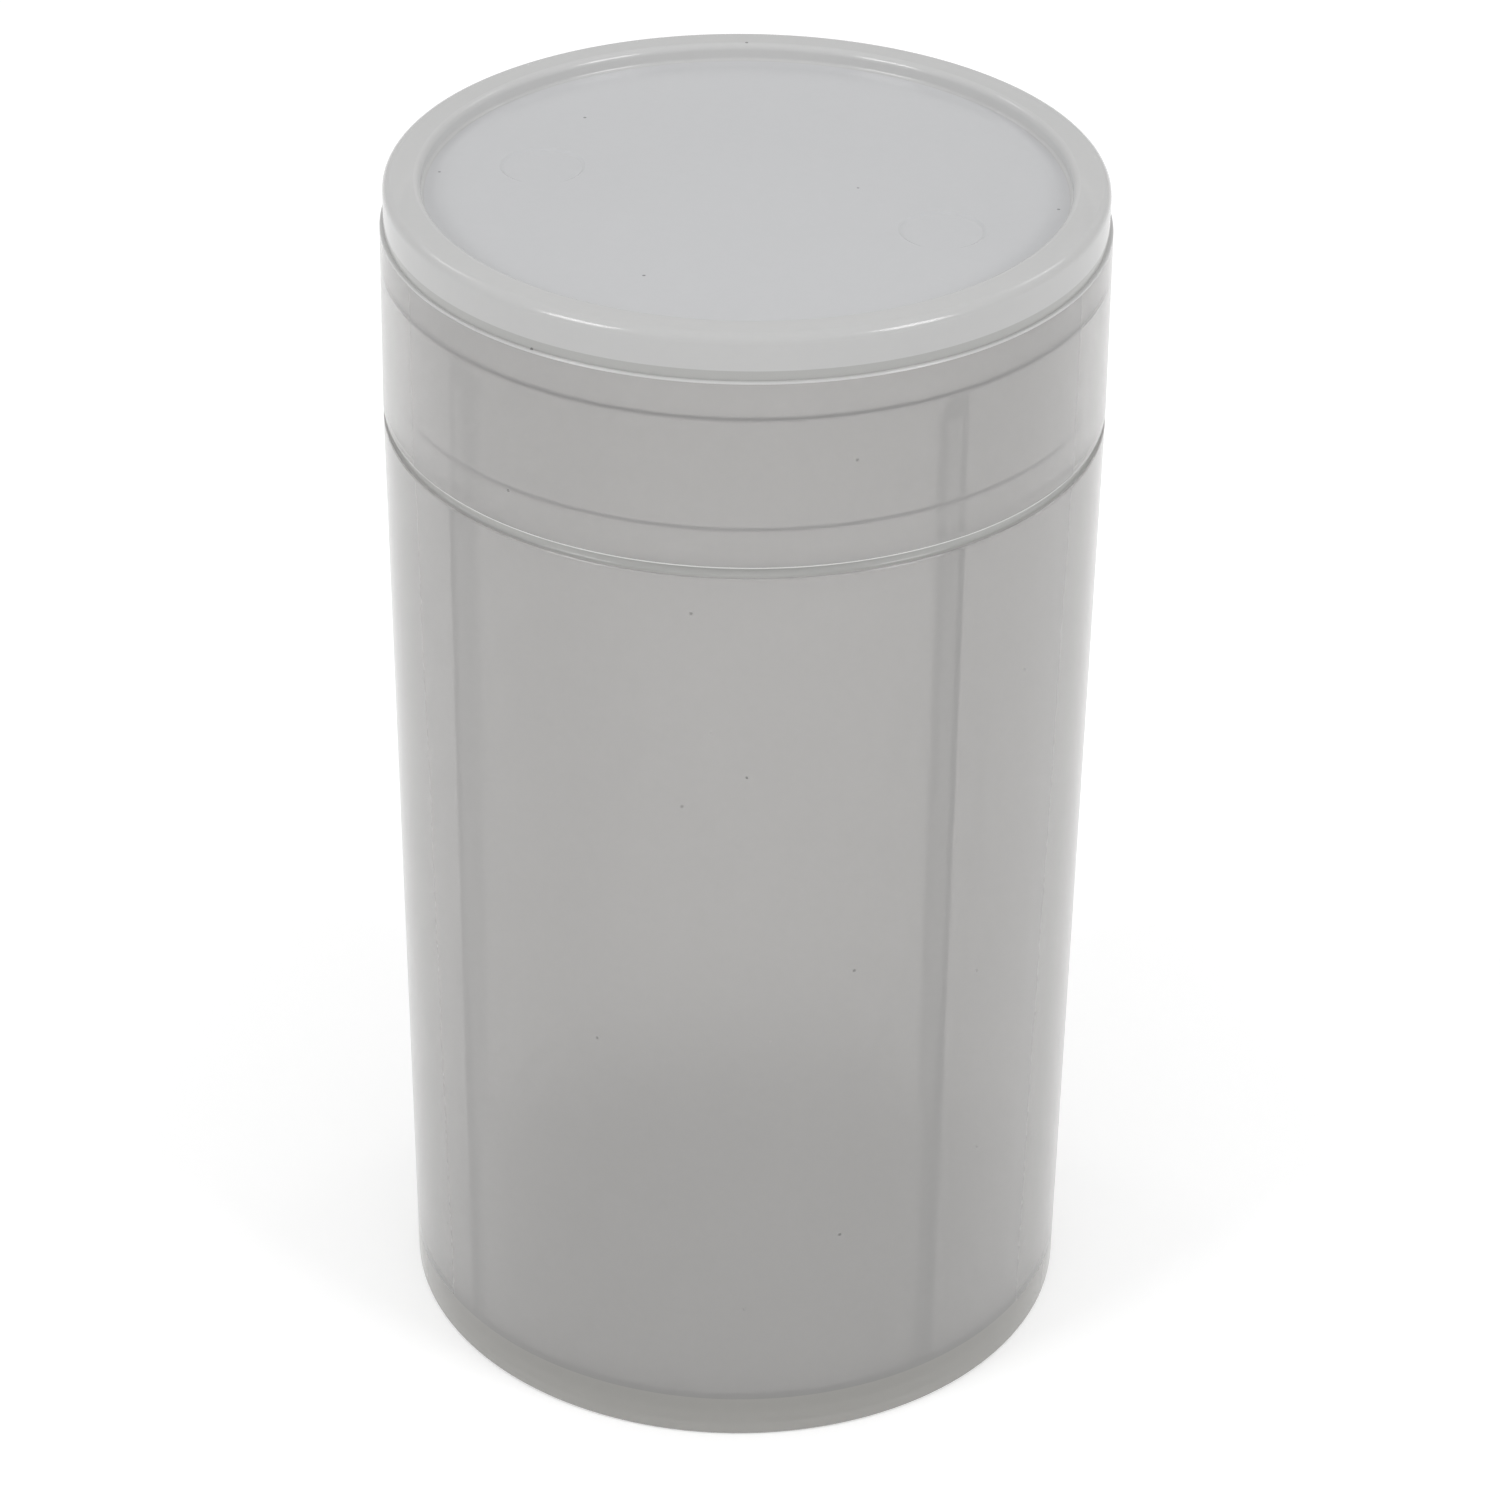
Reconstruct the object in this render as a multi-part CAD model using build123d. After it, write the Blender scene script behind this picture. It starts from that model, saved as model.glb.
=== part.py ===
"""Coin tube: a round tube with four coin guides inside and a flush push-on cap.

The tube stands on its foot ring with its axis on +Z and the origin at the middle of the foot.
Each piece is a profile turned about that axis, so the profiles are written as radius and height.
"""
from build123d import *
import os
from math import cos, radians, sin

# Coins that the tube is made for, in millimetres like every length here
COIN_DIAMETER = 37.0
COIN_THICKNESS = 3.2
COIN_COUNT = 20
COIN_CLEARANCE = 0.15

# Tube walls, measured outwards from the coin guides
GUIDE_HEIGHT_AT_RIM = 1.0
GUIDE_HEIGHT_AT_FLOOR = 0.8
GUIDE_WIDTH = 1.3
GUIDE_EDGE = 0.3
GUIDE_LEAD_IN = 2.0
GUIDE_DROP = 0.4
GUIDE_COUNT = 4
GUIDE_FIRST_ANGLE = 36.5
NECK_WALL = 0.85
BASE_WALL = 1.64

# Tube heights
FOOT_RECESS = 0.8
FLOOR_THICKNESS = 1.6
HEADROOM = 5.5
NECK_HEIGHT = 9.6

# Tube edges
FOOT_WIDTH = 2.0
FOOT_EDGE = 0.3
FOOT_INNER_EDGE = 0.2
FLOOR_CORNER = 0.5
SHOULDER_EDGE = 0.12
RIM_EDGE = 0.15

# Collar under the cap skirt, which leaves a shallow groove round the closed tube
GROOVE_DEPTH = 0.4
COLLAR_CLEARANCE = 0.1
COLLAR_CORNER = 0.15

# Snap bead on the neck
BEAD_DROP = 6.95
BEAD_WIDTH = 0.4
BEAD_CLEARANCE = 0.1

# Cap skirt, which slides over the neck and ends flush with the tube wall
CAP_CLEARANCE = 0.2
SKIRT_WALL = 1.0
SKIRT_DRAFT = 0.1
SKIRT_LEAD_IN = 0.12
SKIRT_EDGE = 0.12
PARTING_GAP = 0.62
SEAT_WIDTH = 0.8

# Cap top
CAP_HOLLOW = 2.9
PANEL_THICKNESS = 1.6
PANEL_RECESS = 1.0
CAP_RIM_WIDTH = 2.23
PANEL_RIM_EDGE = 0.4
PANEL_CORNER = 0.2
FLANGE_HEIGHT = 2.75
FLANGE_STEP = 0.22
FLANGE_EDGE = 0.6
STEP_EDGE = 0.1
HOLLOW_CORNER = 0.4

# Round marks that the mould pins leave on the cap panel
PIN_MARK_DIAMETER = 5.1
PIN_MARK_DEPTH = 0.1
PIN_MARK_SLOPE = 0.2
PIN_MARK_RADIUS = 12.5
PIN_MARK_ANGLES = (166.0, 335.0)

# Radii that follow from the walls and clearances
guide_radius = COIN_DIAMETER / 2 + COIN_CLEARANCE
bore_radius_rim = guide_radius + GUIDE_HEIGHT_AT_RIM
bore_radius_floor = guide_radius + GUIDE_HEIGHT_AT_FLOOR
neck_radius = bore_radius_rim + NECK_WALL
skirt_bore_radius = neck_radius + CAP_CLEARANCE
skirt_radius = skirt_bore_radius + SKIRT_WALL
shoulder_radius = skirt_radius
collar_radius = shoulder_radius - GROOVE_DEPTH
base_radius = bore_radius_floor + BASE_WALL
foot_inner_radius = base_radius - FOOT_EDGE - FOOT_WIDTH
bead_radius = skirt_bore_radius - BEAD_CLEARANCE
hollow_radius = skirt_bore_radius - SEAT_WIDTH
skirt_top_radius = skirt_radius - SKIRT_DRAFT
flange_radius = skirt_top_radius - FLANGE_STEP
panel_radius = flange_radius - CAP_RIM_WIDTH

# Heights that follow from the stack of coins
floor_height = FOOT_RECESS + FLOOR_THICKNESS
rim_height = floor_height + COIN_COUNT * COIN_THICKNESS + HEADROOM
shoulder_height = rim_height - NECK_HEIGHT
bead_height = rim_height - BEAD_DROP
skirt_bottom = shoulder_height + PARTING_GAP
collar_top = skirt_bottom - COLLAR_CLEARANCE
hollow_top = rim_height + CAP_HOLLOW
panel_height = hollow_top + PANEL_THICKNESS
cap_top = panel_height + PANEL_RECESS
step_height = cap_top - FLANGE_HEIGHT


def rounded(profile, radius, height, edge):
    """Round the corner of a flat profile that lies nearest to a radius and a height."""
    corner = profile.vertices().sort_by_distance((radius, height))[0]
    return fillet(corner, edge)


def turned(profile):
    """Turn a profile of radius and height about the tube's axis."""
    return revolve(Plane.XZ * profile, Axis.Z)


def tube_shell():
    """The tube without its guides: foot ring, drafted wall, collar, beaded neck and bore."""
    outside = Polyline(
        (0, FOOT_RECESS),
        (foot_inner_radius, FOOT_RECESS),
        (foot_inner_radius, 0),
        (base_radius, 0),
        (shoulder_radius, shoulder_height),
        (collar_radius, shoulder_height),
        (collar_radius, collar_top),
        (neck_radius, collar_top),
        (neck_radius, bead_height - BEAD_WIDTH / 2),
    )
    bead = ThreePointArc(
        (neck_radius, bead_height - BEAD_WIDTH / 2),
        (bead_radius, bead_height),
        (neck_radius, bead_height + BEAD_WIDTH / 2),
    )
    inside = Polyline(
        (neck_radius, bead_height + BEAD_WIDTH / 2),
        (neck_radius, rim_height),
        (bore_radius_rim, rim_height),
        (bore_radius_floor, floor_height),
        (0, floor_height),
        (0, FOOT_RECESS),
    )
    profile = make_face(outside + bead + inside)
    profile = rounded(profile, base_radius, 0, FOOT_EDGE)
    profile = rounded(profile, foot_inner_radius, 0, FOOT_INNER_EDGE)
    profile = rounded(profile, shoulder_radius, shoulder_height, SHOULDER_EDGE)
    profile = rounded(profile, collar_radius, shoulder_height, COLLAR_CORNER)
    profile = rounded(profile, neck_radius, rim_height, RIM_EDGE)
    profile = rounded(profile, bore_radius_rim, rim_height, RIM_EDGE)
    profile = rounded(profile, bore_radius_floor, floor_height, FLOOR_CORNER)
    return turned(profile)


def coin_guide():
    """One upright rib that centres the coins, with a slope at its top that leads them in."""
    root_radius = bore_radius_rim + NECK_WALL / 2
    guide_top = rim_height - GUIDE_DROP
    side = make_face(
        Polyline(
            (guide_radius, floor_height),
            (root_radius, floor_height),
            (root_radius, guide_top),
            (bore_radius_rim, guide_top),
            (guide_radius, guide_top - GUIDE_LEAD_IN),
            close=True,
        )
    )
    rib = extrude(Plane.XZ * side, GUIDE_WIDTH / 2, both=True)
    tip_edges = rib.edges().filter_by(Axis.Z).sort_by(Axis.X)[:2]
    return fillet(tip_edges, GUIDE_EDGE)


def tube_body():
    """The tube with its coin guides spaced evenly round the bore."""
    body = tube_shell()
    for turn in range(GUIDE_COUNT):
        angle = GUIDE_FIRST_ANGLE + 360 / GUIDE_COUNT * turn
        body += Rot(0, 0, angle) * coin_guide()
    return body


def cap():
    """The push-on cap: recessed panel, raised rim, stepped flange and skirt with its seat."""
    profile = make_face(
        Polyline(
            (0, hollow_top),
            (hollow_radius, hollow_top),
            (hollow_radius, rim_height),
            (skirt_bore_radius, rim_height),
            (skirt_bore_radius, skirt_bottom),
            (skirt_radius, skirt_bottom),
            (skirt_top_radius, step_height),
            (flange_radius, step_height),
            (flange_radius, cap_top),
            (panel_radius, cap_top),
            (panel_radius, panel_height),
            (0, panel_height),
            close=True,
        )
    )
    profile = rounded(profile, hollow_radius, hollow_top, HOLLOW_CORNER)
    profile = rounded(profile, skirt_bore_radius, skirt_bottom, SKIRT_LEAD_IN)
    profile = rounded(profile, skirt_radius, skirt_bottom, SKIRT_EDGE)
    profile = rounded(profile, skirt_top_radius, step_height, STEP_EDGE)
    profile = rounded(profile, flange_radius, cap_top, FLANGE_EDGE)
    profile = rounded(profile, panel_radius, cap_top, PANEL_RIM_EDGE)
    profile = rounded(profile, panel_radius, panel_height, PANEL_CORNER)
    body = turned(profile)
    mark_radius = PIN_MARK_DIAMETER / 2
    mark = Cone(mark_radius - PIN_MARK_SLOPE, mark_radius + PIN_MARK_SLOPE, 2 * PIN_MARK_DEPTH)
    for angle in PIN_MARK_ANGLES:
        x = PIN_MARK_RADIUS * cos(radians(angle))
        y = PIN_MARK_RADIUS * sin(radians(angle))
        body -= Pos(x, y, panel_height) * mark
    return body


os.makedirs("parts", exist_ok=True)
pieces = {"tube_body": tube_body(), "push_on_cap": cap()}
for name, piece in pieces.items():
    export_step(piece, f"parts/{name}.step")
    box = piece.bounding_box()
    print(name, "is", len(piece.solids()), "solid,", round(piece.volume), "cubic mm,")
    print("  from height", round(box.min.Z, 2), "to", round(box.max.Z, 2), "mm,")
    print("  and", round(box.size.X, 2), "mm across")
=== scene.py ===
# %% [markdown]
# # A coin tube in milky plastic
#
# This lesson dresses a small collector's item: a round tube for a stack of coins, with a cap that
# pushes on flush. Both pieces are moulded in natural polypropylene, a plastic that lets light
# through but scatters it, so the lines of the neck, the bead and the coin guides show softly
# through the wall. The work is to turn two exact profiles, to round every edge that catches light,
# and to find a plastic that is neither clear glass nor white paint.

# %% Load the frame
from math import atan2, cos, degrees, hypot, pi, radians, sin

import bmesh
import bpy
from mathutils import Euler, Matrix, Vector


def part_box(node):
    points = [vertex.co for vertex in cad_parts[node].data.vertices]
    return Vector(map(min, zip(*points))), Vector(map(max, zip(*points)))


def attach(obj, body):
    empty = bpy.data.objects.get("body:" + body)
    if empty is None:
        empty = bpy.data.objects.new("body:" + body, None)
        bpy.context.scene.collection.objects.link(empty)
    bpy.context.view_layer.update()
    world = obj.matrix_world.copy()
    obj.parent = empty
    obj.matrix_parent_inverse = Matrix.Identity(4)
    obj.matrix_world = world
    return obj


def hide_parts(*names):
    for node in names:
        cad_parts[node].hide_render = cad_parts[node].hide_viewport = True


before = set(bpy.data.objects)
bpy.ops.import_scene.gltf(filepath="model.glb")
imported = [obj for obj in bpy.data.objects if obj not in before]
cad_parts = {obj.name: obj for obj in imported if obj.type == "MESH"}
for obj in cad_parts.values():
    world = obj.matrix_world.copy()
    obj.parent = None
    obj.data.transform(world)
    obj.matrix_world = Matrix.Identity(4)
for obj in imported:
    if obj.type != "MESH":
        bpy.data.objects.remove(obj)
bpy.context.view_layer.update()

MM = 0.001
tube_low, tube_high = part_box("tube_body")
cap_low, cap_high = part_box("push_on_cap")
print("the tube is", round((tube_high.x - tube_low.x) / MM, 2), "mm across")
print("the cap ends", round(cap_high.z / MM, 2), "mm above the floor")

# %% [markdown]
# ## The camera
#
# The photograph was taken from in front and above with a fairly long lens. The camera could be
# placed by eye, but the rings of the tube are exact ellipses in the picture, so its distance,
# height and tilt were worked out from them and are written here as plain sizes.

# %% Camera
CAMERA_DISTANCE = 260.48 * MM
CAMERA_HEIGHT = 196.02 * MM
CAMERA_PITCH = radians(31.264)
CAMERA_YAW = radians(0.130)
CAMERA_ROLL = radians(0.716)
CAMERA_LENS = 116.31
CAMERA_SENSOR = 36.0
CAMERA_NEAR = 10.0 * MM


def aim(pitch, yaw, roll):
    """The turn of a camera that looks along +Y, tipped down, swung right and rolled."""
    level = Euler((pi / 2 - pitch, 0.0, -yaw)).to_matrix()
    return (level @ Matrix.Rotation(roll, 3, "Z")).to_euler()


camera_data = bpy.data.cameras.new("photo_camera")
camera_data.lens = CAMERA_LENS
camera_data.sensor_width = CAMERA_SENSOR
camera_data.clip_start = CAMERA_NEAR
camera = bpy.data.objects.new("photo_camera", camera_data)
camera.location = (0.0, -CAMERA_DISTANCE, CAMERA_HEIGHT)
camera.rotation_euler = aim(CAMERA_PITCH, CAMERA_YAW, CAMERA_ROLL)
bpy.context.scene.collection.objects.link(camera)
bpy.context.scene.camera = camera
print("the camera stands", round(CAMERA_DISTANCE / MM), "mm in front of the tube")

# %% [markdown]
# ## Turning a profile
#
# Nearly every surface here is round about one axis, as if it came off a lathe. A cylinder with
# bevels would do for a rough stand-in, but a profile that is spun once round the axis gives the
# wall, the floor and the neck together, in one closed skin. Edges are rounded afterwards, ring by
# ring, so that each rounding is a named size.

# %% Turning
STEPS = 360
MERGE = 0.001 * MM


def tidied(bm):
    """Merge points that lie on one another and turn every face outwards."""
    bmesh.ops.remove_doubles(bm, verts=bm.verts, dist=MERGE)
    bmesh.ops.recalc_face_normals(bm, faces=bm.faces)


def turned(points, start_angle):
    """The skin that (radius, height) points sweep, with its seam at an angle in degrees."""
    bm = bmesh.new()
    across = Vector((cos(radians(start_angle)), sin(radians(start_angle)), 0.0))
    upward = Vector((0.0, 0.0, 1.0))
    corners = [bm.verts.new(across * radius + upward * height) for radius, height in points]
    wires = [bm.edges.new(pair) for pair in zip(corners, corners[1:])]
    bmesh.ops.spin(
        bm,
        geom=corners + wires,
        cent=(0.0, 0.0, 0.0),
        axis=upward,
        angle=2.0 * pi,
        steps=STEPS,
        use_merge=True,
    )
    tidied(bm)
    return bm


print("a profile is swept in", STEPS, "steps")

# %% Rounding
EDGE_SEGMENTS = 5
SAME = 0.004 * MM


def rounded(bm, edges, size):
    """Round a set of edges."""
    bmesh.ops.bevel(
        bm,
        geom=edges,
        offset=size,
        offset_type="OFFSET",
        segments=EDGE_SEGMENTS,
        profile=0.5,
        affect="EDGES",
        clamp_overlap=True,
        material=-1,
    )


def reach(point):
    """The distance of a point from the axis."""
    return hypot(point.x, point.y)


def at_ring(vert, radius, height):
    """True if a vertex lies on the ring at a radius and a height."""
    return abs(reach(vert.co) - radius) < SAME and abs(vert.co.z - height) < SAME


def round_ring(bm, radius, height, size):
    """Round the ring-shaped edge at a radius and a height."""
    ring = [e for e in bm.edges if all(at_ring(v, radius, height) for v in e.verts)]
    rounded(bm, ring, size)


print("an edge is rounded in", EDGE_SEGMENTS, "steps")

# %% [markdown]
# ## Sizes
#
# The overall heights and widths come from the frame, so the dressed pieces sit exactly where the
# solids are. The walls, clearances and roundings are the moulding's own sizes.

# %% Sizes of the tube
COIN_RADIUS = 18.5 * MM
COIN_CLEARANCE = 0.15 * MM
GUIDE_AT_RIM = 1.0 * MM
GUIDE_AT_FLOOR = 0.8 * MM
NECK_WALL = 0.85 * MM
BASE_WALL = 1.64 * MM
FOOT_RECESS = 0.8 * MM
FOOT_WIDTH = 2.0 * MM
FLOOR_THICKNESS = 1.6 * MM
NECK_HEIGHT = 9.6 * MM
COLLAR_CLEARANCE = 0.1 * MM
COLLAR_CORNER = 0.15 * MM
GROOVE_DEPTH = 0.4 * MM
BEAD_DROP = 6.95 * MM
BEAD_WIDTH = 0.4 * MM
BEAD_CREST = 0.06 * MM
BEAD_CLEARANCE = 0.1 * MM
CAP_CLEARANCE = 0.2 * MM
FOOT_EDGE = 0.3 * MM
FOOT_INNER_EDGE = 0.2 * MM
FLOOR_CORNER = 0.5 * MM
SHOULDER_EDGE = 0.12 * MM
RIM_EDGE = 0.15 * MM

guide_radius = COIN_RADIUS + COIN_CLEARANCE
bore_rim = guide_radius + GUIDE_AT_RIM
bore_floor = guide_radius + GUIDE_AT_FLOOR
neck_radius = bore_rim + NECK_WALL
skirt_bore = neck_radius + CAP_CLEARANCE
shoulder_radius = tube_high.x
base_radius = bore_floor + BASE_WALL
foot_inner = base_radius - FOOT_EDGE - FOOT_WIDTH
bead_radius = skirt_bore - BEAD_CLEARANCE
rim_height = tube_high.z
floor_height = FOOT_RECESS + FLOOR_THICKNESS
shoulder_height = rim_height - NECK_HEIGHT
bead_height = rim_height - BEAD_DROP
collar_radius = shoulder_radius - GROOVE_DEPTH
collar_top = cap_low.z - COLLAR_CLEARANCE
solid_top = floor_height + FLOOR_CORNER
print("the coins stand in a space", round((rim_height - floor_height) / MM, 1), "mm deep")

# %% [markdown]
# ## The tube
#
# The tube is one moulding: a foot ring, a wall that narrows a little towards the base so that it
# leaves its mould, a shoulder with a low collar, and a thin neck with a bead that the cap snaps
# over. The collar stops just short of the cap's skirt, so a shallow groove runs round the closed
# tube. A stack of cylinders would leave seams between them, so one profile is swept instead. The
# bore gets a few extra rings, because the coin guides will grow out of its faces, and the sweep
# starts at the first guide's angle, so that columns of faces lie evenly on both sides of each
# guide.

# %% Tube wall
GUIDE_DROP = 0.4 * MM
GUIDE_LEAD_IN = 2.0 * MM
GUIDE_FIRST_ANGLE = 36.5

guide_top = rim_height - GUIDE_DROP
guide_full = guide_top - GUIDE_LEAD_IN


def bore_at(height):
    """The radius of the drafted bore at a height."""
    share = (height - floor_height) / (rim_height - floor_height)
    return bore_floor + (bore_rim - bore_floor) * share


def wall_at(height):
    """The radius of the drafted wall at a height."""
    return base_radius + (shoulder_radius - base_radius) * height / shoulder_height


tube_mesh = turned(
    [
        (0.0, FOOT_RECESS),
        (foot_inner, FOOT_RECESS),
        (foot_inner, 0.0),
        (base_radius, 0.0),
        (wall_at(solid_top), solid_top),
        (shoulder_radius, shoulder_height),
        (collar_radius, shoulder_height),
        (collar_radius, collar_top),
        (neck_radius, collar_top),
        (neck_radius, bead_height - BEAD_WIDTH / 2),
        (bead_radius, bead_height),
        (neck_radius, bead_height + BEAD_WIDTH / 2),
        (neck_radius, rim_height),
        (bore_rim, rim_height),
        (bore_at(guide_top), guide_top),
        (bore_at(guide_full), guide_full),
        (bore_at(shoulder_height), shoulder_height),
        (bore_floor, floor_height),
        (guide_radius, floor_height),
        (0.0, floor_height),
    ],
    GUIDE_FIRST_ANGLE,
)
print("the swept tube has", len(tube_mesh.faces), "faces")

# %% Edges of the tube
TUBE_EDGES = (
    (base_radius, 0.0, FOOT_EDGE),
    (foot_inner, 0.0, FOOT_INNER_EDGE),
    (shoulder_radius, shoulder_height, SHOULDER_EDGE),
    (collar_radius, shoulder_height, COLLAR_CORNER),
    (bead_radius, bead_height, BEAD_CREST),
    (neck_radius, rim_height, RIM_EDGE),
    (bore_rim, rim_height, RIM_EDGE),
    (bore_floor, floor_height, FLOOR_CORNER),
)
for edge_radius, edge_height, edge_size in TUBE_EDGES:
    round_ring(tube_mesh, edge_radius, edge_height, edge_size)
print("with its edges rounded it has", len(tube_mesh.faces), "faces")

# %% [markdown]
# ## The coin guides
#
# Four upright ribs stand inwards from the bore and hold the coins central. They could be boxes
# joined to the wall, but light passes through this plastic, so a joint inside the wall would show
# as a false line. Instead each rib is extruded from a strip of the bore's own faces, down to the
# floor, and its points are set just clear of the coins. At the top the strip slopes back into
# the bore, which leads a coin in.

# %% Coin guides
GUIDE_COUNT = 4
GUIDE_HALF_ANGLE = 2.0


def turn_between(point, angle):
    """How far a point lies from an angle about the axis, in degrees."""
    away = degrees(atan2(point.y, point.x)) - angle
    return abs((away + 180.0) % 360.0 - 180.0)


def under_guide(face, angle):
    """True if a face of the bore or of the floor's margin lies under the guide at an angle."""
    middle = face.calc_center_median()
    in_height = floor_height - SAME < middle.z < guide_top
    in_bore = guide_radius < reach(middle) < neck_radius - NECK_WALL / 2
    return in_height and in_bore and turn_between(middle, angle) < GUIDE_HALF_ANGLE


def raise_guide(bm, angle):
    """Pull one strip of the bore inwards to the guide radius, with a slope at its top."""
    strip = [f for f in bm.faces if under_guide(f, angle)]
    grown = bmesh.ops.extrude_face_region(bm, geom=strip)["geom"]
    bmesh.ops.delete(bm, geom=strip, context="FACES")
    for vert in grown:
        if isinstance(vert, bmesh.types.BMVert) and vert.co.z < guide_full + SAME:
            vert.co.xy = vert.co.xy * (guide_radius / reach(vert.co))
    tidied(bm)


for turn in range(GUIDE_COUNT):
    raise_guide(tube_mesh, GUIDE_FIRST_ANGLE + 360.0 / GUIDE_COUNT * turn)
print("the bore has", GUIDE_COUNT, "guides")

# %% Edges of the guides
GUIDE_EDGE = 0.25 * MM
CORNER_TURN = radians(45.0)


def at_guide_corner(edge):
    """True if an edge runs up one of the two tip corners of a guide."""
    low, high = sorted((v.co for v in edge.verts), key=lambda point: point.z)
    upright = high.z - low.z > SAME and high.z < guide_full + SAME
    at_tip = max(abs(reach(low) - guide_radius), abs(reach(high) - guide_radius)) < SAME
    return upright and at_tip and edge.calc_face_angle(0.0) > CORNER_TURN


guide_corners = [e for e in tube_mesh.edges if at_guide_corner(e)]
rounded(tube_mesh, guide_corners, GUIDE_EDGE)
open_edges = sum(1 for e in tube_mesh.edges if not e.is_manifold)
print("the tube has", len(tube_mesh.faces), "faces and", open_edges, "open edges")

# %% [markdown]
# ## The cap
#
# The cap is a shallow cup turned upside down: a recessed panel with a raised rim, a flange, and a
# skirt that covers the neck. A step inside the skirt stops on the tube's rim. The flange is a
# little narrower than the skirt, and the small ledge between them catches a thin line of light.
# One profile is swept again, with an extra ring on the flange where the finish will change.

# %% Sizes of the cap
SEAT_WIDTH = 0.8 * MM
CAP_HOLLOW = 2.9 * MM
SKIRT_DRAFT = 0.1 * MM
SKIRT_LEAD_IN = 0.12 * MM
SKIRT_EDGE = 0.12 * MM
FLANGE_HEIGHT = 2.75 * MM
FLANGE_STEP = 0.22 * MM
FLANGE_EDGE = 0.6 * MM
STEP_EDGE = 0.1 * MM
CAP_RIM_WIDTH = 2.23 * MM
PANEL_RECESS = 1.0 * MM
PANEL_RIM_EDGE = 0.4 * MM
PANEL_CORNER = 0.2 * MM
PANEL_MARGIN = 1.0 * MM
HOLLOW_CORNER = 0.4 * MM
BAND_SHIFT = 0.45 * MM

skirt_radius = cap_high.x
skirt_bottom = cap_low.z
cap_top = cap_high.z
skirt_top_radius = skirt_radius - SKIRT_DRAFT
flange_radius = skirt_top_radius - FLANGE_STEP
panel_radius = flange_radius - CAP_RIM_WIDTH
panel_height = cap_top - PANEL_RECESS
step_height = cap_top - FLANGE_HEIGHT
hollow_top = rim_height + CAP_HOLLOW
hollow_radius = skirt_bore - SEAT_WIDTH
band_bottom = hollow_top + BAND_SHIFT
print("the panel of the cap is", round(2.0 * panel_radius / MM, 1), "mm across")

# %% Cap
cap_mesh = turned(
    [
        (0.0, hollow_top),
        (hollow_radius, hollow_top),
        (hollow_radius, rim_height),
        (skirt_bore, rim_height),
        (skirt_bore, skirt_bottom),
        (skirt_radius, skirt_bottom),
        (skirt_top_radius, step_height),
        (flange_radius, step_height),
        (flange_radius, band_bottom),
        (flange_radius, cap_top),
        (panel_radius, cap_top),
        (panel_radius, panel_height),
        (panel_radius - PANEL_MARGIN, panel_height),
    ],
    GUIDE_FIRST_ANGLE,
)
print("the swept cap has", len(cap_mesh.faces), "faces")

# %% Edges of the cap
CAP_EDGES = (
    (hollow_radius, hollow_top, HOLLOW_CORNER),
    (skirt_bore, skirt_bottom, SKIRT_LEAD_IN),
    (skirt_radius, skirt_bottom, SKIRT_EDGE),
    (skirt_top_radius, step_height, STEP_EDGE),
    (flange_radius, cap_top, FLANGE_EDGE),
    (panel_radius, cap_top, PANEL_RIM_EDGE),
    (panel_radius, panel_height, PANEL_CORNER),
)
for edge_radius, edge_height, edge_size in CAP_EDGES:
    round_ring(cap_mesh, edge_radius, edge_height, edge_size)
print("with its edges rounded it has", len(cap_mesh.faces), "faces")

# %% [markdown]
# ## The pin marks
#
# Two round pins push the cap out of its mould, and each leaves a faint shallow disc in the panel.
# A bump in the material would leave the mesh itself flat. Here the panel is left open in the
# middle, two circles are drawn in it, and one fill makes the flat sheet around them. Each circle
# is then pulled down a little and closed.

# %% Pin marks
PIN_MARK_RADIUS = 2.55 * MM
PIN_MARK_DEPTH = 0.1 * MM
PIN_MARK_PLACE = 12.5 * MM
PIN_MARK_ANGLES = (166.0, 335.0)
PIN_MARK_STEPS = 96
PIN_MARK_SLOPE = 0.2 * MM


def pin_circle(bm, angle):
    """The outline of one pin mark on the panel, as edges."""
    turn = Matrix.Rotation(radians(angle), 4, "Z")
    place = turn @ Matrix.Translation((PIN_MARK_PLACE, 0.0, panel_height))
    made = bmesh.ops.create_circle(
        bm, cap_ends=False, segments=PIN_MARK_STEPS, radius=PIN_MARK_RADIUS, matrix=place
    )
    return list({e for v in made["verts"] for e in v.link_edges})


def sink(bm, outline):
    """Pull a pin mark's outline down and close its floor."""
    grown = bmesh.ops.extrude_edge_only(bm, edges=outline)["geom"]
    lower_verts = [v for v in grown if isinstance(v, bmesh.types.BMVert)]
    lower_edges = [e for e in grown if isinstance(e, bmesh.types.BMEdge)]
    middle = sum((v.co for v in lower_verts), Vector()) / len(lower_verts)
    shrink = 1.0 - PIN_MARK_SLOPE / PIN_MARK_RADIUS
    to_middle = Matrix.Translation(-middle)
    bmesh.ops.scale(bm, verts=lower_verts, vec=(shrink, shrink, 1.0), space=to_middle)
    bmesh.ops.translate(bm, verts=lower_verts, vec=(0.0, 0.0, -PIN_MARK_DEPTH))
    lower_set = set(lower_verts)
    ring = [e for e in lower_edges if lower_set.issuperset(e.verts)]
    bmesh.ops.triangle_fill(bm, edges=ring, use_beauty=True)


panel_ring = [e for e in cap_mesh.edges if e.is_boundary]
pin_outlines = [pin_circle(cap_mesh, angle) for angle in PIN_MARK_ANGLES]
pin_edges = [e for outline in pin_outlines for e in outline]
bmesh.ops.triangle_fill(cap_mesh, edges=panel_ring + pin_edges, use_beauty=True)
for outline in pin_outlines:
    sink(cap_mesh, outline)
tidied(cap_mesh)
open_edges = sum(1 for e in cap_mesh.edges if not e.is_manifold)
print("the cap has", len(cap_mesh.faces), "faces and", open_edges, "open edges")

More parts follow.
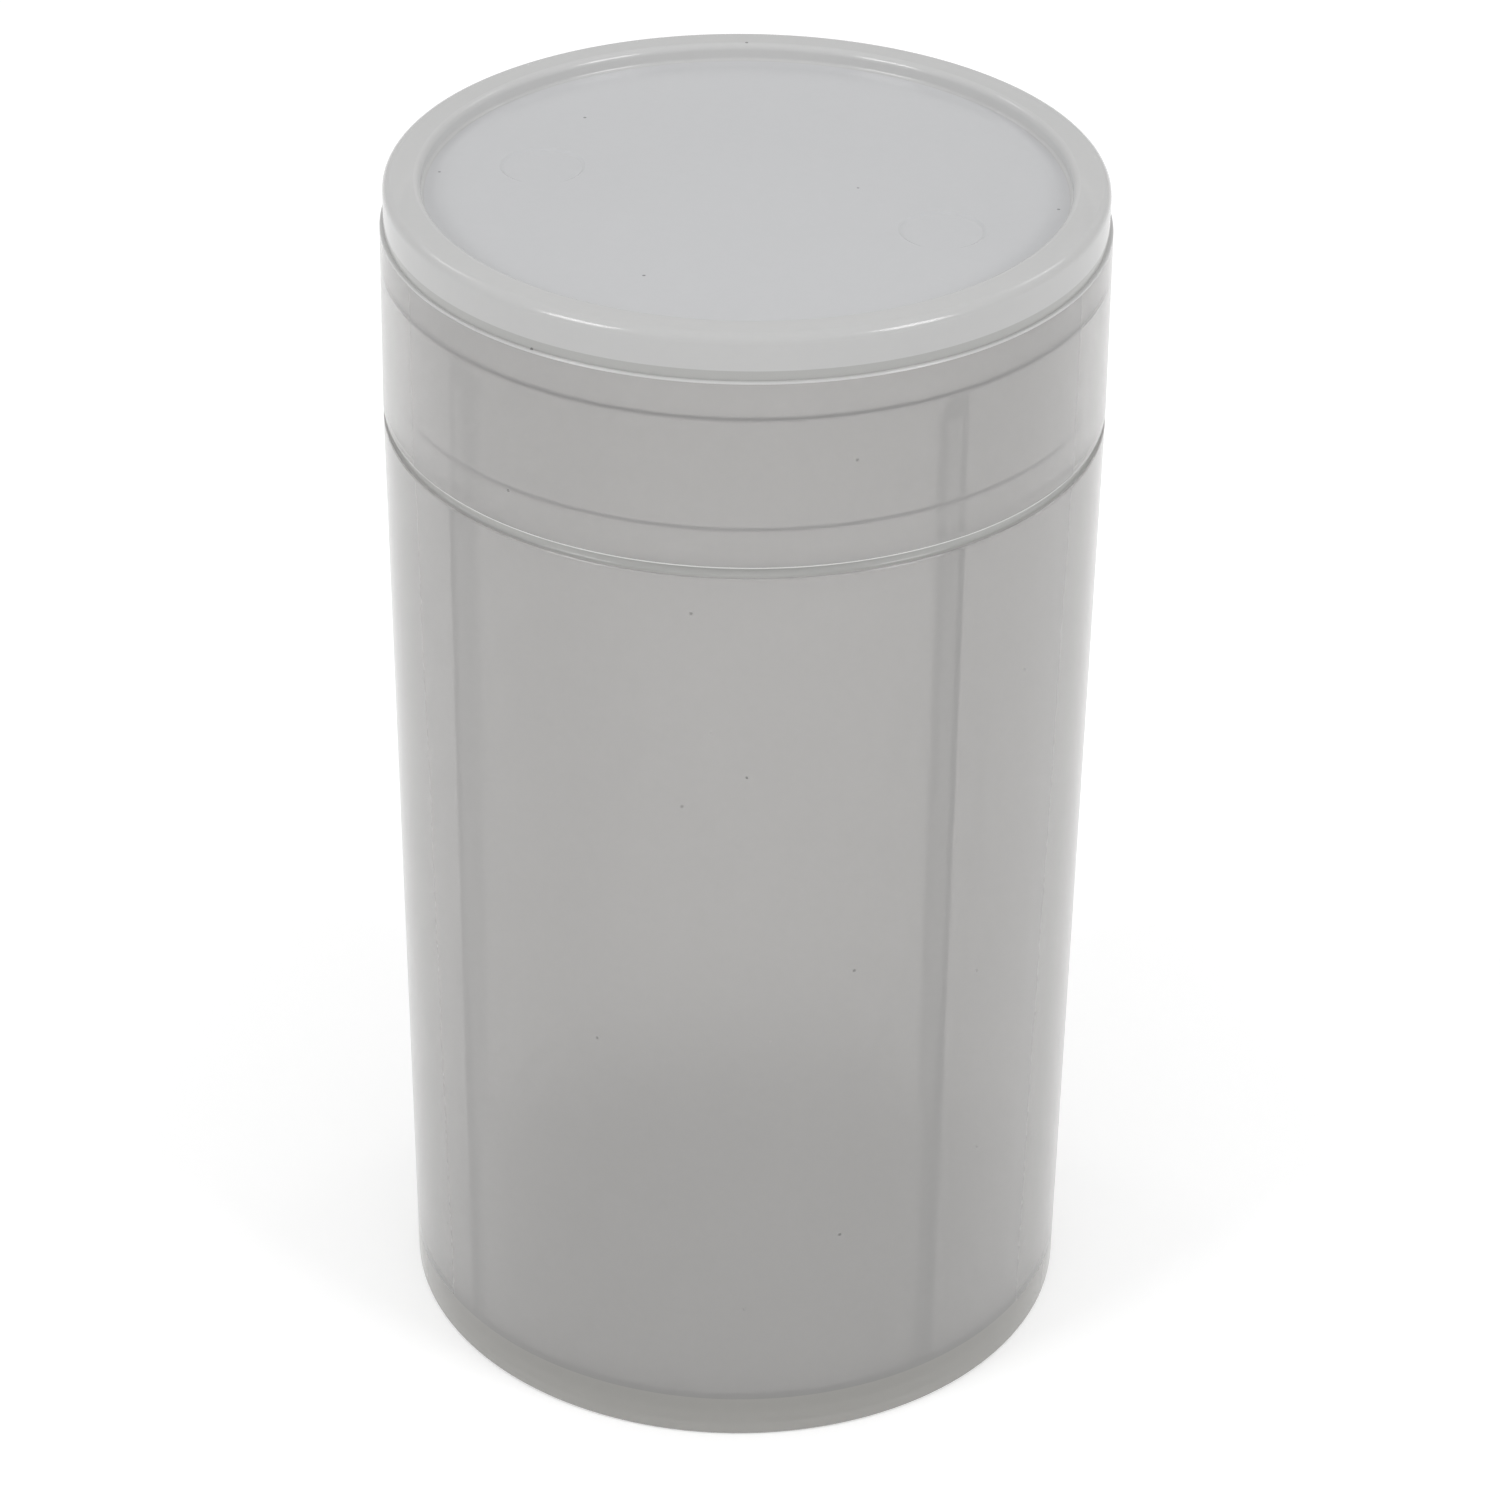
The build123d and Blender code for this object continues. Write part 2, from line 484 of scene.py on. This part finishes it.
# %% [markdown]
# ## Where each finish goes
#
# One plastic makes both pieces, but it doesn't look the same everywhere, because its haze grows
# with its thickness. The thin wall is polished outside and satin inside. Where the skirt stands
# against the neck, two thin walls share the haze of one, so of the faces between them the skirt's
# has little haze and the neck's has none. The foot, the bottom and the guides are thicker and let
# less light through, and their darker colours add painted shade on top: shade near the floor at
# the foot and the bottom, and the shade of light held back in the thick guides. The cap's solid
# top is thick too, and its edge shows as an even band under the rim. The groove and the thin strip
# under the band lie in shade, and their darker colours are painted shade. The end of the skirt and
# the wall of the recess, which is a little lighter than the band, have lighter colours that are
# painted light. Painting the faces by hand would do in the editor, but here a face's slot is
# chosen from the radius and height of its middle, so it follows the sizes.

# %% Slots
OUTSIDE, FOOT, BORE, GUIDE, BOTTOM, NECK, BEAD = range(7)
GROOVE, EDGE, SLEEVE, STEP, SHADED, BAND, RECESS, PANEL = range(7, 15)
GUIDE_SINK = 0.05 * MM


def tube_slot(point):
    """The finish of a tube face."""
    radius = reach(point)
    if radius < neck_radius - NECK_WALL / 2 and point.z > floor_height - SAME:
        if point.z < solid_top:
            return BOTTOM
        return GUIDE if radius < bore_at(point.z) - GUIDE_SINK else BORE
    if point.z < solid_top:
        return FOOT
    if point.z < shoulder_height - SAME or radius > shoulder_radius - SHOULDER_EDGE:
        return OUTSIDE
    if point.z < collar_top + SAME:
        return GROOVE
    on_bead = bead_height < point.z < bead_height + BEAD_WIDTH / 2
    return BEAD if on_bead else NECK


def cap_slot(point):
    """The finish of a cap face."""
    radius = reach(point)
    if radius < hollow_radius + SAME and point.z < hollow_top + SAME:
        return BORE
    if point.z < skirt_bottom + SKIRT_LEAD_IN:
        return EDGE
    if radius < (skirt_bore + skirt_radius) / 2 and point.z < rim_height + SAME:
        return SLEEVE
    if abs(point.z - step_height) < STEP_EDGE:
        return STEP
    if point.z < band_bottom:
        return OUTSIDE if point.z < step_height else SHADED
    at_wall = panel_radius - PANEL_CORNER < radius < panel_radius + PANEL_RIM_EDGE
    if at_wall and panel_height + SAME < point.z < cap_top - SAME:
        return RECESS
    return PANEL if radius < panel_radius + SAME else BAND


print("a face takes one of", PANEL + 1, "finishes")

# %% [markdown]
# ## Finished objects
#
# A mesh becomes an object that stands in for its solid and moves with its body. Smooth faces
# alone would round every corner to the eye, so edges that turn sharply are marked, and a
# weighted-normal modifier keeps the flat faces flat beside the small roundings.

# %% Finished objects
SHARP = radians(22.0)


def finished(bm, name, body, node, finish_of):
    """Make the piece's object: smooth faces, crisp corners, riding on its body."""
    for face in bm.faces:
        face.smooth = True
        face.material_index = finish_of(face.calc_center_median())
    for edge in bm.edges:
        edge.smooth = edge.calc_face_angle(0.0) < SHARP
    mesh = bpy.data.meshes.new(name)
    bm.to_mesh(mesh)
    bm.free()
    piece = bpy.data.objects.new(name, mesh)
    bpy.context.scene.collection.objects.link(piece)
    even = piece.modifiers.new("even_shading", "WEIGHTED_NORMAL")
    even.keep_sharp = True
    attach(piece, body)
    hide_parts(node)
    return piece


tube = finished(tube_mesh, "milky_tube", "tube", "tube_body", tube_slot)
cap = finished(cap_mesh, "milky_cap", "cap", "push_on_cap", cap_slot)
print("made", tube.name, "and", cap.name)

# %% [markdown]
# ## Shader sums in Python
#
# A shader is a sum of many small nodes. Wired by hand it is hard to read, so one small class wraps
# a socket: ordinary operators add the Math nodes, and one method adds any other node. The
# reflected operators let a plain number stand on the left.


# %% Shader helper
class Wire:
    """One output of a shader node, with operators for the sums that a finish needs."""

    def __init__(self, tree, socket=None):
        self.tree = tree
        self.socket = socket

    def node(self, kind, settings, values):
        """Add a node: its settings first, then the values or wires of its sockets."""
        made = self.tree.nodes.new(kind)
        for name, setting in settings.items():
            setattr(made, name, setting)
        for key, value in values.items():
            if isinstance(value, Wire):
                self.tree.links.new(value.socket, made.inputs[key])
            else:
                made.inputs[key].default_value = value
        return made

    def out(self, made, key):
        """The wire that leaves a node."""
        return Wire(self.tree, made.outputs[key])

    def math(self, operation, first, second):
        """The wire of one Math node."""
        values = {0: first, 1: second}
        return self.out(self.node("ShaderNodeMath", {"operation": operation}, values), 0)

    def __add__(self, other):
        return self.math("ADD", self, other)

    def __radd__(self, other):
        return self.math("ADD", other, self)

    def __sub__(self, other):
        return self.math("SUBTRACT", self, other)

    def __rsub__(self, other):
        return self.math("SUBTRACT", other, self)

    def __mul__(self, other):
        return self.math("MULTIPLY", self, other)

    def __rmul__(self, other):
        return self.math("MULTIPLY", other, self)

    def __lt__(self, other):
        return self.math("LESS_THAN", self, other)

    def __gt__(self, other):
        return self.math("GREATER_THAN", self, other)


print("shader sums add their own nodes")

# %% [markdown]
# ## The milky plastic
#
# Natural polypropylene is clear in a thin film and milky in a thick wall. Volume scattering would
# be the true model, but it is slow, and a plain export loses it. Here each surface lets part of
# the light through and scatters the rest like paint. The finish is never quite even: slow clouds
# vary the haze, a fine grain breaks up the shine, and a few specks of dust lie on it. The panel is
# also lightened a little towards its rim. Real plastic carries light into that corner, and a
# surface that only scatters would leave it dark. The mask is the distance from the axis, so it
# stays with the cap.

# %% Shader masks
GLOW_WIDTH = 1.2 * MM
ACROSS = (1.0, 1.0, 0.0)


def grey(level):
    """The even grey colour of one level."""
    channels = {"Red": level, "Green": level, "Blue": level}
    return level.out(level.node("ShaderNodeCombineColor", {}, channels), "Color")


def near_rim(shade, place):
    """A mask that grows from 0 to 1 on the last stretch of the panel before its rim."""
    flat = shade.node("ShaderNodeVectorMath", {"operation": "MULTIPLY"}, {0: place, 1: ACROSS})
    away = {0: shade.out(flat, "Vector")}
    radius = shade.node("ShaderNodeVectorMath", {"operation": "LENGTH"}, away)
    span = {
        "Value": shade.out(radius, "Value"),
        "From Min": panel_radius - GLOW_WIDTH,
        "From Max": panel_radius,
    }
    return shade.out(shade.node("ShaderNodeMapRange", {}, span), "Result")


print("the panel is lightened on its last", round(GLOW_WIDTH / MM, 1), "mm")

# %% Milky plastic
NOISE_MIDDLE = 0.5
CLOUD_SCALE = 55.0
CLOUD_DETAIL = 2.0
CLOUD_DEPTH = 0.03
GRAIN_SCALE = 1800.0
GRAIN_DETAIL = 1.0
GRAIN_DEPTH = 0.02
SHINE_DEPTH = 0.06
DUST_SCALE = 300.0
DUST_SIZE = 0.03
DUST_SHADE = 0.5
BUMP_STRENGTH = 0.02
BUMP_DISTANCE = 0.1 * MM
PLASTIC_IOR = 1.49

# A Mix node has sockets for each kind of data, and these are the places of its colour sockets
MIX_FIRST = 6
MIX_SECOND = 7
MIX_RESULT = 2


def milky(name, colour, roughness, clear, glow=0.0):
    """Milky plastic of a colour, roughness and clear share, which may glow at the cap's rim."""
    material = bpy.data.materials.new(name)
    material.use_nodes = True
    tree = material.node_tree
    surface = tree.nodes["Principled BSDF"]
    shade = Wire(tree)
    place = shade.out(shade.node("ShaderNodeTexCoord", {}, {}), "Object")

    def noise(scale, detail):
        values = {"Vector": place, "Scale": scale, "Detail": detail}
        return shade.out(shade.node("ShaderNodeTexNoise", {}, values), 0)

    cloud = noise(CLOUD_SCALE, CLOUD_DETAIL) - NOISE_MIDDLE
    grain = noise(GRAIN_SCALE, GRAIN_DETAIL) - NOISE_MIDDLE
    cells = shade.node("ShaderNodeTexVoronoi", {}, {"Vector": place, "Scale": DUST_SCALE})
    dust = shade.out(cells, "Distance") < DUST_SIZE
    level = (1.0 + cloud * CLOUD_DEPTH + grain * GRAIN_DEPTH) * (1.0 - dust * DUST_SHADE)
    if glow:
        level = level * (1.0 + near_rim(shade, place) * glow)
    tinted = shade.node(
        "ShaderNodeMix",
        {"data_type": "RGBA", "blend_type": "MULTIPLY"},
        {"Factor": 1.0, MIX_FIRST: (*colour, 1.0), MIX_SECOND: grey(level)},
    )
    relief = {"Strength": BUMP_STRENGTH, "Distance": BUMP_DISTANCE, "Height": grain}
    bump = shade.node("ShaderNodeBump", {}, relief)
    shine = roughness + cloud * SHINE_DEPTH
    tree.links.new(tinted.outputs[MIX_RESULT], surface.inputs["Base Color"])
    tree.links.new(shine.socket, surface.inputs["Roughness"])
    tree.links.new(bump.outputs["Normal"], surface.inputs["Normal"])
    surface.inputs["IOR"].default_value = PLASTIC_IOR
    surface.inputs["Transmission Weight"].default_value = clear
    return material


print("the plastic bends light by an index of", PLASTIC_IOR)

# %% [markdown]
# ## Fifteen finishes of one plastic
#
# Each finish is the same plastic with its own colour, roughness and share of clear light. The wall
# is a little warm. The cap's panel is a little cool, a painted reflection of cool light from
# above.
# The inside is rougher, which blurs what lies behind it: the near guides show as soft lines, and
# the far ones don't show at all. The darker foot, bottom, guides, groove and strip carry painted
# shade, and the lighter end of the skirt, the wall of the recess and the panel's glow at its rim
# carry painted light. The upper flank of the bead is near black, a painted shade line for the thin
# grey ring that the bead shows. The colours were set by comparing renders with the photograph. The
# list is in the order of the slots above.

# %% Finishes
GLOSSY = 0.05
POLISHED = 0.15
SATIN = 0.4
WALL_COLOUR = (0.715, 0.706, 0.696)
# The guides are darker than the wall: painted shade for the light that the thick ribs hold back
GUIDE_SHADE_COLOUR = (0.47, 0.467, 0.46)
# The foot and the bottom are darker than the wall: painted shade near the floor
FOOT_SHADE_COLOUR = (0.42, 0.413, 0.393)
BOTTOM_SHADE_COLOUR = (0.45, 0.45, 0.435)
# The bead's near-black colour is a painted shade line
BEAD_SHADE_COLOUR = (0.03, 0.03, 0.03)
# The groove and the strip under the band are darker: painted shade
GROOVE_SHADE_COLOUR = (0.45, 0.45, 0.44)
SHADED_COLOUR = (0.43, 0.43, 0.42)
# The end of the skirt is lighter: painted light
EDGE_LIT_COLOUR = (0.82, 0.82, 0.81)
BAND_COLOUR = (0.575, 0.575, 0.572)
# The wall of the recess is lighter than the band: painted light
RECESS_LIT_COLOUR = (0.6, 0.6, 0.598)
# The panel's cool tint is a painted reflection of cool light from above
PANEL_COLOUR_AND_REFLECTION = (0.615, 0.62, 0.632)
PANEL_GLOW = 0.13
SLEEVE_COLOUR = (0.93, 0.923, 0.915)
CLEAR_COLOUR = (1.0, 1.0, 1.0)

finishes = (
    milky("polished_wall", WALL_COLOUR, POLISHED, clear=0.65),
    milky("solid_foot_painted_shade", FOOT_SHADE_COLOUR, POLISHED, clear=0.3),
    milky("satin_bore", WALL_COLOUR, SATIN, clear=0.65),
    milky("satin_guide_painted_shade", GUIDE_SHADE_COLOUR, SATIN, clear=0.6),
    milky("satin_bottom_painted_shade", BOTTOM_SHADE_COLOUR, SATIN, clear=0.3),
    milky("clear_neck", CLEAR_COLOUR, GLOSSY, clear=1.0),
    milky("bead_painted_shade", BEAD_SHADE_COLOUR, POLISHED, clear=0.0),
    milky("shaded_groove", GROOVE_SHADE_COLOUR, POLISHED, clear=0.05),
    milky("lit_edge", EDGE_LIT_COLOUR, POLISHED, clear=0.1),
    milky("hazy_sleeve", SLEEVE_COLOUR, GLOSSY, clear=0.85),
    milky("glossy_step", BAND_COLOUR, GLOSSY, clear=0.1),
    milky("shaded_strip", SHADED_COLOUR, POLISHED, clear=0.1),
    milky("solid_band", BAND_COLOUR, POLISHED, clear=0.15),
    milky("lit_recess", RECESS_LIT_COLOUR, POLISHED, clear=0.15),
    milky("solid_panel", PANEL_COLOUR_AND_REFLECTION, POLISHED, clear=0.2, glow=PANEL_GLOW),
)
for piece in (tube, cap):
    for finish in finishes:
        piece.data.materials.append(finish)
print("the pieces share", len(finishes), "finishes")

# %% [markdown]
# ## The floor
#
# The floor is plain and pale, and to the camera it is lifted to white, so that only the soft
# shadow under the tube is left on it. More light would do that too, but it would also brighten
# the tube. So the lift is kept to what the camera sees, also in shiny faces and through clear
# ones.

# %% Floor
FLOOR_SIZE = 2.0

floor_mesh = bmesh.new()
bmesh.ops.create_grid(floor_mesh, x_segments=1, y_segments=1, size=FLOOR_SIZE)
floor_data = bpy.data.meshes.new("studio_floor")
floor_mesh.to_mesh(floor_data)
floor_mesh.free()
floor = bpy.data.objects.new("studio_floor", floor_data)
bpy.context.scene.collection.objects.link(floor)
print("the floor reaches", FLOOR_SIZE, "m to each side")

# %% Finish of the floor
FLOOR_GREY = 0.75
FLOOR_LIFT = 0.36
FLOOR_ROUGHNESS = 0.9

floor_material = bpy.data.materials.new("studio_floor")
floor_material.use_nodes = True
floor_surface = floor_material.node_tree.nodes["Principled BSDF"]
floor_shade = Wire(floor_material.node_tree)
path = floor_shade.node("ShaderNodeLightPath", {}, {})
seen = floor_shade.out(path, "Is Camera Ray") + floor_shade.out(path, "Is Glossy Ray")
seen = floor_shade.math("MINIMUM", seen + floor_shade.out(path, "Is Transmission Ray"), 1.0)
lift = grey(seen * FLOOR_LIFT)
floor_material.node_tree.links.new(lift.socket, floor_surface.inputs["Emission Color"])
floor_surface.inputs["Emission Strength"].default_value = 1.0
floor_surface.inputs["Base Color"].default_value = (FLOOR_GREY, FLOOR_GREY, FLOOR_GREY, 1.0)
floor_surface.inputs["Roughness"].default_value = FLOOR_ROUGHNESS
floor.data.materials.append(floor_material)
print("the floor is a grey of", FLOOR_GREY, "with a lift of", FLOOR_LIFT)

# %% [markdown]
# ## The light
#
# The tube stands in even light, like that of a tent of white cloth. A single lamp would leave one
# side in shade, so a plain white world stands for the tent, and four soft lamps stand round the
# tube in pairs, a stronger pair in front and a weak pair behind.

# %% Tent
TENT_COLOUR = (1.0, 1.0, 1.0, 1.0)
TENT_STRENGTH = 0.70

world = bpy.data.worlds.new("tent")
bpy.context.scene.world = world
world.use_nodes = True
tent = world.node_tree.nodes["Background"]
tent.inputs["Color"].default_value = TENT_COLOUR
tent.inputs["Strength"].default_value = TENT_STRENGTH
print("the tent shines at a strength of", TENT_STRENGTH)

# %% Lamps
LAMP_TARGET = Vector((0.0, 0.0, 0.05))
LAMP_DISTANCE = 0.6
FRONT_LAMPS = {"turn": 55.0, "rise": 35.0, "size": 0.2, "watts": 1.0}
BACK_LAMPS = {"turn": 130.0, "rise": 42.0, "size": 0.12, "watts": 0.12}


def softbox(name, turn, rise, size, watts):
    """A square lamp that looks at the tube, turned from the front and raised, in degrees."""
    data = bpy.data.lights.new(name, "AREA")
    data.shape = "SQUARE"
    data.size = size
    data.energy = watts
    away = Vector((0.0, -LAMP_DISTANCE * cos(radians(rise)), LAMP_DISTANCE * sin(radians(rise))))
    lamp = bpy.data.objects.new(name, data)
    lamp.location = LAMP_TARGET + Matrix.Rotation(radians(turn), 3, "Z") @ away
    lamp.rotation_euler = (LAMP_TARGET - lamp.location).to_track_quat("-Z", "Y").to_euler()
    bpy.context.scene.collection.objects.link(lamp)


for row, lamps in (("front", FRONT_LAMPS), ("back", BACK_LAMPS)):
    for side, sign in (("left", -1.0), ("right", 1.0)):
        turn = sign * lamps["turn"]
        softbox(f"{row}_{side}", turn, lamps["rise"], lamps["size"], lamps["watts"])
bpy.context.scene.view_settings.view_transform = "Standard"
print("four lamps stand", LAMP_DISTANCE, "m from the tube")
